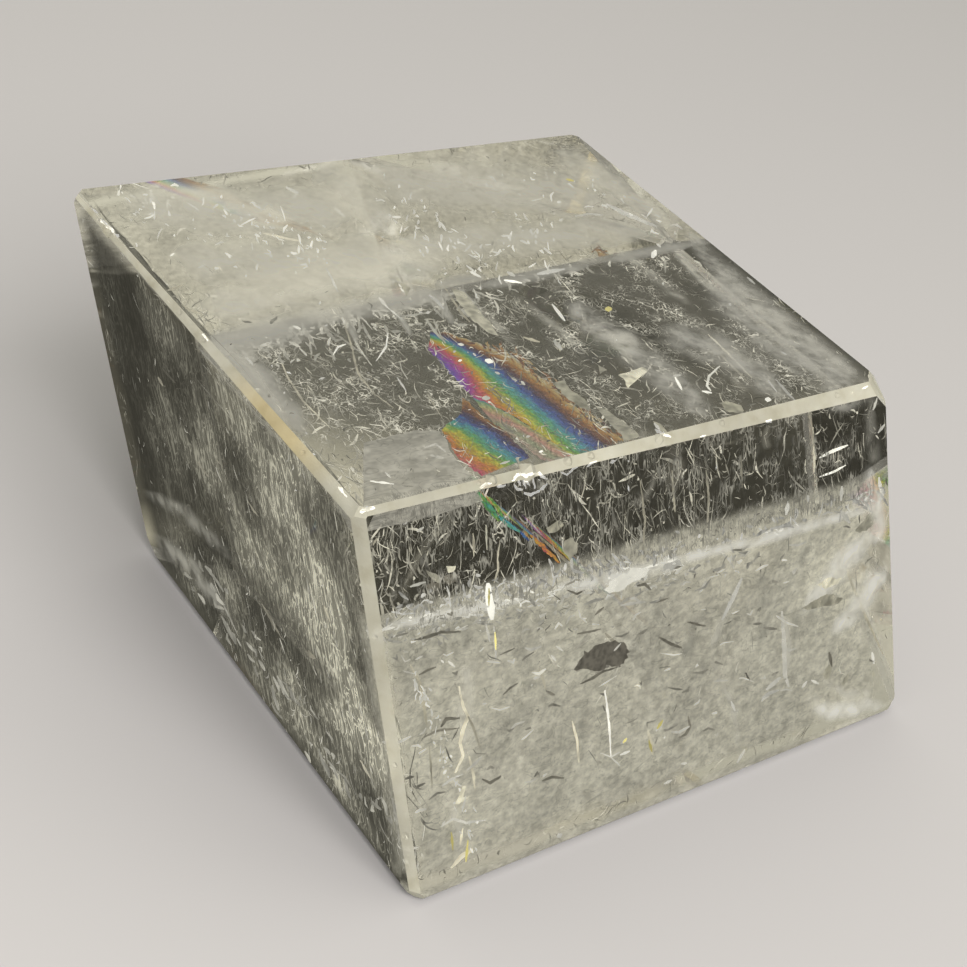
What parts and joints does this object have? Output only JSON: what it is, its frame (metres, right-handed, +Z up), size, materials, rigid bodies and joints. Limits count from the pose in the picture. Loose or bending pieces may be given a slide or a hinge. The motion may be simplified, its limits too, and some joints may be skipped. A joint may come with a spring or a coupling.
{
  "type": "optical calcite block",
  "caption": "Clear polished block of optical calcite, a leaning rhomb with flat faces, ground bevelled edges, small chips and inner cleavage cracks, made to rest on its flat base.",
  "frame": {"origin": "centre of the bounding box on the bottom face, which the block rests on", "axes": "+Z up out of the polished top face, +X along the upper front edge, which is also the longest extent"},
  "size_m": [0.103, 0.0768, 0.043],
  "materials": {
    "clear_calcite": "polished, clear with a faint warm grey tint",
    "ground_edge": "finely ground bevels, frosted cream",
    "inner_fractures": "pale silky cracks, veils and flecks inside the crystal",
    "rainbow_crack": "thin air film in a cleavage crack, with interference colours"
  },
  "bodies": {
    "root": {"calcite_block": "clear_calcite"}
  },
  "joints": []
}
